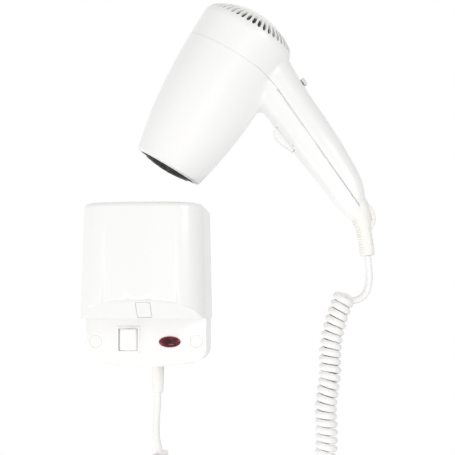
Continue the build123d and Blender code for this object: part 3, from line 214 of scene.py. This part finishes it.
# The lighter and the darker tone, the roughness and, for the polished ones, the coat.
PLASTICS = {
    "shell_white": (rgb(0.94, 0.937, 0.93), rgb(0.93, 0.926, 0.917), 0.26, 0.15),
    "cup_white": (rgb(0.90, 0.89, 0.87), rgb(0.88, 0.87, 0.85), 0.42),
    "knob_grey": (rgb(0.80, 0.78, 0.75), rgb(0.76, 0.74, 0.71), 0.34),
    "grey_plastic": (rgb(0.52, 0.46, 0.41), rgb(0.44, 0.39, 0.35), 0.5),
    "black_plastic": (rgb(0.03, 0.03, 0.03), rgb(0.02, 0.02, 0.02), 0.4),
    "grille_black": (rgb(0.024, 0.022, 0.021), rgb(0.012, 0.011, 0.011), 0.3, 0.2),
    "lamp_white": (rgb(0.82, 0.81, 0.78), rgb(0.78, 0.77, 0.74), 0.45),
    "flex_cream": (rgb(0.93, 0.918, 0.885), rgb(0.91, 0.896, 0.86), 0.42),
    "cord_cream": (rgb(0.93, 0.925, 0.915), rgb(0.915, 0.905, 0.89), 0.36),
}
finishes = {name: moulded_plastic(name, *look) for name, look in PLASTICS.items()}
print("plastics:", len(finishes))

# %% [markdown]
# ## Metals
# The screws, the motor and the heating wire are small or hidden, but a part that can be opened should still
# look right inside. An anisotropic shader would give brushed metal its streaked highlights. A noise that is
# stretched along one direction does nearly the same through roughness and bump, and an export keeps those.

# %% Metals
GRAIN_SCALE = 900.0
GRAIN_STRETCH = (1.0, 1.0, 0.04)
GRAIN_SHARE = 0.15
RELIEF_HEIGHT = 0.2 * MM


def brushed_metal(name, light, dark, roughness):
    finish = Finish(name)
    stretched = finish.node("ShaderNodeMapping", None, {"Vector": finish.place, "Scale": GRAIN_STRETCH})
    grain = finish.noise(GRAIN_SCALE, roughness=0.6, place=stretched)
    return finish.set(
        Base_Color=finish.mix(grain, dark, light),
        Metallic=1.0,
        Roughness=roughness + GRAIN_SHARE * grain,
        Normal=finish.bump(grain, 0.05, RELIEF_HEIGHT),
    )


METALS = {
    "steel": (rgb(0.66, 0.66, 0.67), rgb(0.50, 0.50, 0.51), 0.25),
    "brass": (rgb(0.78, 0.62, 0.30), rgb(0.62, 0.47, 0.20), 0.28),
    "copper_winding": (rgb(0.62, 0.30, 0.14), rgb(0.42, 0.19, 0.09), 0.35),
    "heating_wire": (rgb(0.46, 0.43, 0.40), rgb(0.34, 0.31, 0.29), 0.4),
}
finishes.update({name: brushed_metal(name, *look) for name, look in METALS.items()})
print("metals:", len(METALS))

# %% [markdown]
# ## Mica and circuit board
# The heater's former is mica, pressed from flakes that each lie at their own slant. Voronoi cells are such
# flakes: the distance to their middles drives colour, roughness and bump at once. The board is green
# lacquer, which only needs a soft blotch.

# %% Mica and board
FLAKE_SCALE = 260.0
BLOTCH_SCALE = 120.0


def mica_board(name):
    finish = Finish(name)
    flakes = finish.cells(FLAKE_SCALE)
    tone = finish.ramp(flakes, [(0.0, rgb(0.42, 0.34, 0.20)), (0.6, rgb(0.62, 0.54, 0.38))])
    bump = finish.bump(flakes, 0.1, RELIEF_HEIGHT)
    return finish.set(Base_Color=tone, Roughness=0.45 + 0.2 * flakes, Normal=bump)


def circuit_board(name):
    finish = Finish(name)
    blotch = finish.noise(BLOTCH_SCALE, detail=1.0)
    tone = finish.mix(blotch, rgb(0.03, 0.14, 0.06), rgb(0.05, 0.22, 0.09))
    return finish.set(Base_Color=tone, Roughness=0.35 + 0.1 * blotch)


finishes["mica"] = mica_board("mica")
finishes["board_green"] = circuit_board("board_green")
print("finishes so far:", len(finishes))

# %% [markdown]
# ## The lamp's lens
# A neon lamp sits behind an oval dome of dark red plastic. Real transmission would show the lamp's inside,
# which is nearly black when it is off, so an opaque red does as well and survives an export. The distance
# from the lens's middle, measured in half widths, brightens it towards the rim. This is painted light: a
# crimson glow in the colour that stands in for light passing through the thinner plastic there. Small
# Voronoi facets break the gleam.

# %% Lens
LENS_CENTRE = (0.021, -0.05, -0.0507)
LENS_HALF = (0.00945, 1.0, 0.00475)
FACET_SCALE = 330.0
RIM_GLOW_SHARE = 0.85
FACET_SHARE = 0.4


def red_lens(name):
    """Dark in the middle and crimson towards the rim: a painted glow for the light that passes through less
    plastic there.
    """
    finish = Finish(name)
    offset = finish.vector_math("SUBTRACT", finish.place, LENS_CENTRE)
    scaled = finish.vector_math("DIVIDE", offset, LENS_HALF)
    rim = finish.node("ShaderNodeVectorMath", {"operation": "LENGTH"}, {0: scaled}, "Value")
    facets = finish.cells(FACET_SCALE)
    # painted light: the crimson stops towards the rim stand in for light passing through the thin edge of the
    # dome
    middle, edge, rim_glow = rgb(0.030, 0.002, 0.002), rgb(0.070, 0.005, 0.007), rgb(0.19, 0.015, 0.025)
    stops = [(0.30, middle), (0.75, edge), (1.0, rim_glow)]
    tone = finish.ramp(rim * RIM_GLOW_SHARE + FACET_SHARE * facets, stops)
    return finish.set(Base_Color=tone, Roughness=0.10 + 0.05 * facets, Specular_IOR_Level=0.28)


finishes["lens_red"] = red_lens("lens_red")
print("finishes:", len(finishes))

# %% [markdown]
# ## Dressing the CAD pieces
# Each CAD piece names a material slot, such as the shells' white or the grille's black. Going through the
# slots gives every piece its finish in one loop, also the pieces that nobody sees until the dryer is opened.

# %% Finishes on the pieces
slot_of = {part["node"]: part["material_slot"] for part in frame["record"]["subparts"]}
for name, node in frame["nodes"].items():
    node.data.materials.clear()
    node.data.materials.append(finishes[slot_of[name]])
print("pieces with a finish:", len(frame["nodes"]))

# %% [markdown]
# ## Smooth surfaces
# A CAD node arrives as loose triangles, so every facet shows in a glossy finish. The visible ones are
# copied and their triangles are joined at shared corners. Triangles that lie in one plane are merged into
# one face, so a flat panel counts as large and flat when the shading is averaged. Edges sharper than a set
# angle stay sharp, the rest is shaded smooth, and a Weighted Normal modifier lets the large faces lead.

# %% Smooth copies of the visible nodes
FLAT_DEGREES = 0.05
SHARP_BY_DEFAULT = 32.0
SHARP_DEGREES = {"rocker": 15.0}     # keeps the low ridge between the rocker's two faces
WELD_DISTANCE = 0.002 * MM
body_of = {node: body for body, nodes in frame["record"]["behaviour"]["bodies"].items() for node in nodes}


def smooth_copy(name, sharp_degrees):
    """A welded, smooth-shaded copy of a CAD node that stands for it."""
    mesh = frame["nodes"][name].data.copy()
    mesh.name = name + "_skin"
    shape = bmesh.new()
    shape.from_mesh(mesh)
    bmesh.ops.remove_doubles(shape, verts=shape.verts, dist=WELD_DISTANCE)
    bmesh.ops.dissolve_degenerate(shape, edges=shape.edges, dist=WELD_DISTANCE / 2)
    bmesh.ops.dissolve_limit(shape, angle_limit=math.radians(FLAT_DEGREES), verts=shape.verts,
                             edges=shape.edges)
    shape.to_mesh(mesh)
    shape.free()
    mesh.shade_smooth()
    mesh.set_sharp_from_angle(angle=math.radians(sharp_degrees))
    piece = bpy.data.objects.new(name + "_skin", mesh)
    bpy.context.collection.objects.link(piece)
    weighted = piece.modifiers.new("weighted_normals", "WEIGHTED_NORMAL")
    weighted.keep_sharp = True
    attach(piece, body_of[name])
    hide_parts(name)
    return piece


VISIBLE = [
    "front_shell", "rear_shell", "trigger", "speed_knob", "outlet_grille", "handle_screws", "intake_screen",
    "hood", "hood_latch", "base_housing", "cradle_cup", "wall_plate", "rocker_bezel", "lamp_lens",
    "cord_gland", "cover_screws", "screw_caps", "strain_relief", "rocker",
]
for name in VISIBLE:
    smooth_copy(name, SHARP_DEGREES.get(name, SHARP_BY_DEFAULT))
print("smooth copies:", len(VISIBLE))

# %% [markdown]
# ## The curly cord
# The cord leaves the dryer straight down, turns back and winds into a tight coil that hangs in a loop and
# returns to the holder. The route's points are the same as in CAD, in millimetres. Each stretch is a NURBS
# curve, which Blender smooths by itself, and it is read back as points so that the coil can wind around it.

# %% Routes of the cord
TAIL_TOP = [
    (193.9, -48.5, 24.3), (195.2, -48.3, 13.0), (195.5, -48.1, 1.9), (193.2, -47.2, -7.2),
    (187.5, -45.4, -13.9), (179.1, -43.4, -15.1),
]
CURL_SPINE = [
    (174.0, -48.5, -10.6), (169.4, -48.5, -21.8), (164.8, -48.5, -35.8), (161.6, -48.6, -50.0),
    (160.6, -48.9, -64.5), (161.0, -49.0, -79.0), (158.4, -48.8, -93.8), (156.4, -48.0, -109.0),
    (157.8, -47.0, -127.0), (157.0, -45.5, -149.0), (151.5, -43.5, -172.0), (141.0, -41.0, -193.0),
    (125.0, -38.5, -210.0), (105.0, -36.5, -220.5), (83.0, -34.5, -223.0), (61.0, -33.0, -217.0),
    (41.0, -31.5, -204.0), (21.5, -30.0, -186.5), (12.0, -29.0, -168.0), (9.0, -28.0, -150.5),
]
TAIL_LOW = [
    (7.3, -22.0, -97.0), (7.3, -22.0, -108.5), (6.2, -22.6, -120.0), (6.1, -24.0, -131.0),
    (7.4, -26.0, -141.5), (10.4, -28.4, -151.0),
]


def route(points):
    """Points along the NURBS curve of a route, in metres."""
    curve = bpy.data.curves.new("route", "CURVE")
    curve.dimensions = "3D"
    spline = curve.splines.new("NURBS")
    spline.points.add(len(points) - 1)
    for control, point in zip(spline.points, points):
        control.co = (*(MM * c for c in point), 1.0)
    spline.order_u = 3
    spline.use_endpoint_u = True
    spline.resolution_u = 24
    holder = bpy.data.objects.new("route", curve)
    mesh = bpy.data.meshes.new_from_object(holder)
    line = [v.co.copy() for v in mesh.vertices]
    bpy.data.objects.remove(holder)
    bpy.data.curves.remove(curve)
    bpy.data.meshes.remove(mesh)
    return line


def lengths(line):
    """Distance along a line to each of its points."""
    total = [0.0]
    for a, b in zip(line, line[1:]):
        total.append(total[-1] + (b - a).length)
    return total


def point_along(line, marks, distance):
    """Point and direction at a distance along a line."""
    distance = min(max(distance, 0.0), marks[-1])
    for i in range(1, len(marks)):
        if marks[i] >= distance:
            share = (distance - marks[i - 1]) / max(marks[i] - marks[i - 1], 1e-9)
            return line[i - 1].lerp(line[i], share), (line[i] - line[i - 1]).normalized()
    return line[-1], (line[-1] - line[-2]).normalized()


top, spine, low = route(TAIL_TOP), route(CURL_SPINE), route(TAIL_LOW)
spine_marks = lengths(spine)
print("coiled stretch:", round(spine_marks[-1] / MM), "mm")

# %% [markdown]
# ## Winding the wire
# A Curve modifier could bend a straight helix along the loop, but the straight ends could not be joined to it
# in one line. So a pair of directions across the curve is carried along without twisting, and the wire
# circles in them, sixteen points to a turn. The winding starts behind the coil's axis, where the upper
# straight end arrives, and stops where the lower one leaves.

# %% The wire's centre line
WINDING_RADIUS = 6.65
WINDING_PITCH = 6.75
POINTS_PER_TURN = 16
START_TURN = 0.19
turns = spine_marks[-1] / (WINDING_PITCH * MM)
side = Vector((1, 0, 0))
winding = []
for i in range(int(turns * POINTS_PER_TURN)):
    centre, direction = point_along(spine, spine_marks, i / POINTS_PER_TURN * WINDING_PITCH * MM)
    side = (side - direction * side.dot(direction)).normalized()
    back = direction.cross(side)
    turn = 2 * math.pi * (START_TURN + i / POINTS_PER_TURN)
    winding.append(centre + WINDING_RADIUS * MM * (math.cos(turn) * side - math.sin(turn) * back))
wire = top[:-1] + winding + low[-2::-1]
wire_marks = lengths(wire)
print("wire:", round(wire_marks[-1] / MM), "mm, turns:", round(turns))

# %% [markdown]
# ## Round tubes
# Both the cord and the ribs of its boot are round tubes along a line. A curve with a round bevel draws one
# too, but it can twist where a tight coil turns. Extruding one ring from point to point, and turning it by
# the smallest angle each time, keeps the faces in even rows.

# %% Tubes along lines
SMOOTH_UNDER_DEGREES = 40.0


def add_tube(shape, line, radius, sides):
    """Add a round tube along a line: one ring that is extruded from point to point."""
    start = (line[1] - line[0]).normalized()
    turn = start.to_track_quat("Z", "X").to_matrix().to_4x4()
    ring = bmesh.ops.create_circle(shape, cap_ends=True, segments=sides, radius=radius,
                                   matrix=Matrix.Translation(line[0]) @ turn)
    edges = list({e for v in ring["verts"] for e in v.link_edges})
    before = start
    for i in range(1, len(line)):
        made = bmesh.ops.extrude_edge_only(shape, edges=edges)["geom"]
        verts = [g for g in made if isinstance(g, bmesh.types.BMVert)]
        edges = [g for g in made if isinstance(g, bmesh.types.BMEdge)
                 and all(v in verts for v in g.verts)]
        after = (line[min(i + 1, len(line) - 1)] - line[i - 1]).normalized()
        turn = before.rotation_difference(after).to_matrix().to_4x4()
        step = Matrix.Translation(line[i]) @ turn @ Matrix.Translation(-line[i - 1])
        bmesh.ops.transform(shape, matrix=step, verts=verts)
        before = after
    bmesh.ops.holes_fill(shape, edges=edges)


def finished_piece(name, shape, finish):
    """Turn a bmesh into a smooth-shaded object with one finish."""
    bmesh.ops.recalc_face_normals(shape, faces=shape.faces)
    mesh = bpy.data.meshes.new(name)
    shape.to_mesh(mesh)
    shape.free()
    mesh.shade_smooth()
    mesh.set_sharp_from_angle(angle=math.radians(SMOOTH_UNDER_DEGREES))
    mesh.materials.append(finish)
    piece = bpy.data.objects.new(name, mesh)
    bpy.context.collection.objects.link(piece)
    return piece


# %% [markdown]
# ## One cord
# The cord hangs between the holder and the dryer. Two cords that meet in the loop would part when the dryer
# moves, so the whole wire is drawn as one tube, from the upper straight end through the coil to the lower
# one. It stands in place of the three CAD stretches and is not tied to either body.

# %% The cord
WIRE_RADIUS = 3.1
WIRE_SIDES = 14

shape = bmesh.new()
add_tube(shape, wire, WIRE_RADIUS * MM, WIRE_SIDES)
cord = finished_piece("curly_cord", shape, finishes["cord_cream"])
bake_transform(cord)
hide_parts("cord_tail_upper", "cord_curl", "cord_tail_lower")
print("cord faces:", len(cord.data.polygons))

# %% [markdown]
# ## Ribs of the strain relief
# The boot that guards the cord is ribbed on its two sides, so that it bends evenly, and smooth in a strip
# down the middle. A bump could fake the ribs, but they show in the boot's outline, so each one is a thin bead
# along part of an ellipse, half sunk into the boot. The boot's sections are the ones it has in CAD, in the
# dryer's own frame.

# %% Ribs
# Place (X, Z), direction (X, Z), half depth and half width of each section, in millimetres.
RELIEF_SECTIONS = [
    (167.0, 51.4, 0.95, -0.31, 10.0, 9.2), (173.0, 45.2, 0.80, -0.60, 7.5, 7.3),
    (182.0, 34.4, 0.690, -0.724, 6.2, 6.0), (190.9, 22.8, 0.613, -0.790, 6.1, 5.9),
]
RIB_PITCH = 2.3
RIB_RADIUS = 0.55
RIB_HALF_TURN = 58
RIB_STEPS = 12
RIB_SIDES = 8


def relief_section(distance):
    """Centre, direction and half sizes of the boot at a distance along it."""
    for first, second in zip(RELIEF_SECTIONS, RELIEF_SECTIONS[1:]):
        span = math.dist(first[:2], second[:2])
        if distance <= span:
            return [a + (b - a) * distance / span for a, b in zip(first, second)]
        distance -= span
    return None


shape = bmesh.new()
distance = RIB_PITCH
while relief_section(distance):
    x, z, dx, dz, half_depth, half_width = relief_section(distance)
    centre, across_boot = Vector((x, 0, z)), Vector((dz, 0, -dx)).normalized()
    for side_angle in (0, 180):
        bead = []
        for k in range(RIB_STEPS + 1):
            turn = math.radians(side_angle + RIB_HALF_TURN * (2 * k / RIB_STEPS - 1))
            point = centre + half_depth * math.cos(turn) * across_boot
            bead.append(hand @ (point + Vector((0, half_width * math.sin(turn), 0))))
        add_tube(shape, bead, RIB_RADIUS * MM, RIB_SIDES)
    distance += RIB_PITCH
ribs = finished_piece("relief_ribs", shape, finishes["flex_cream"])
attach(ribs, "dryer")
print("ribs reach", round(distance - RIB_PITCH, 1), "mm along the boot")

# %% [markdown]
# ## The room
# The product stands in a bright room that is lighter on its left. An image of a studio could light it, but
# a plain slope from one side to the other is all that is needed. The background is white to the camera, to
# reflections and through glass, but lights the object less than that, because a fully white world would
# erase the form. The sum of the three kinds of ray may pass one, and Map Range cuts it off there.

# %% World
LIGHT_FROM_LEFT = 0.94
LIGHT_FROM_RIGHT = 0.34
WHITE = 1.0

world = bpy.data.worlds.new("studio")
bpy.context.scene.world = world
room = Wiring(world)
view_direction = room.node("ShaderNodeTexCoord", output="Generated")
sideways = room.node("ShaderNodeSeparateXYZ", None, {0: view_direction}, "X")
fade = {"Value": sideways, "From Min": -1.0, "To Min": LIGHT_FROM_LEFT, "To Max": LIGHT_FROM_RIGHT}
glow = room.node("ShaderNodeMapRange", None, fade, "Result")
camera_ray, glossy_ray, through_ray = (
    room.node("ShaderNodeLightPath", output=kind)
    for kind in ("Is Camera Ray", "Is Glossy Ray", "Is Transmission Ray")
)
shown = {"Value": camera_ray + glossy_ray + through_ray, "To Min": glow, "To Max": WHITE}
background = room.tree.nodes["Background"]
room.feed(background.inputs["Color"], rgb(WHITE, WHITE, WHITE))
room.feed(background.inputs["Strength"], room.node("ShaderNodeMapRange", None, shown, "Result"))
print("world nodes:", len(room.tree.nodes))

# %% [markdown]
# ## Lamps
# Square area lamps are like the soft boxes of a studio. Point lamps would leave hard spots on the gloss.
# Two stand low and one on the right, to lift the faces that turn down or away, and a weak one in front evens
# the rest.

# %% Lamps
LIT_POINT = Vector((0.07, -0.05, 0.05))
LAMPS = {
    "front": {"place": (0.45, -1.7, -0.05), "width": 0.9, "watts": 2.2},
    "below": {"place": (0.05, -1.1, -1.1), "width": 0.5, "watts": 4.8},
    "low_left": {"place": (-1.2, -0.6, -1.0), "width": 0.5, "watts": 4.2},
    "right": {"place": (1.2, -1.0, 0.5), "width": 0.6, "watts": 6.2},
}


def aimed(thing, place, target):
    """Put a lamp or a camera at a place so that it looks at a target."""
    thing.location = place
    thing.rotation_euler = (target - Vector(place)).to_track_quat("-Z", "Y").to_euler()
    bpy.context.collection.objects.link(thing)


for name, lamp in LAMPS.items():
    light = bpy.data.lights.new(name, "AREA")
    light.shape = "SQUARE"
    light.size = lamp["width"]
    light.energy = lamp["watts"]
    aimed(bpy.data.objects.new(name, light), lamp["place"], LIT_POINT)
print("lamps:", ", ".join(LAMPS))

# %% [markdown]
# ## Floor
# A pale floor catches the light. It lies far below, because a nearer one would stand between the low lamps
# and the product.

# %% Floor
FLOOR_HALF = 1.3
FLOOR_HEIGHT = -1.6

shape = bmesh.new()
bmesh.ops.create_grid(shape, x_segments=1, y_segments=1, size=FLOOR_HALF,
                      matrix=Matrix.Translation((0, 0, FLOOR_HEIGHT)))
mesh = bpy.data.meshes.new("floor")
shape.to_mesh(mesh)
shape.free()
mesh.materials.append(Finish("floor_pale").set(Base_Color=rgb(0.9, 0.9, 0.9), Roughness=0.7))
floor = bpy.data.objects.new("floor", mesh)
bpy.context.collection.objects.link(floor)
print("floor:", 2 * FLOOR_HALF, "m wide")

# %% [markdown]
# ## Camera
# The camera stands a metre off, a little to the right and below the middle. Its long lens keeps upright
# edges almost parallel, as in a catalogue picture.

# %% Camera
CAMERA_PLACE = (0.1326, -1.0457, -0.0203)
CAMERA_TARGET = Vector((0.0717, -0.05, 0.0495))
CAMERA_LENS = 90
CAMERA_SENSOR = 36

camera_data = bpy.data.cameras.new("camera")
camera_data.lens = CAMERA_LENS
camera_data.sensor_width = CAMERA_SENSOR
camera = bpy.data.objects.new("camera", camera_data)
aimed(camera, CAMERA_PLACE, CAMERA_TARGET)
bpy.context.scene.camera = camera
bpy.context.scene.view_settings.view_transform = "Standard"
print("camera to target:", round((CAMERA_TARGET - Vector(CAMERA_PLACE)).length, 3), "m")
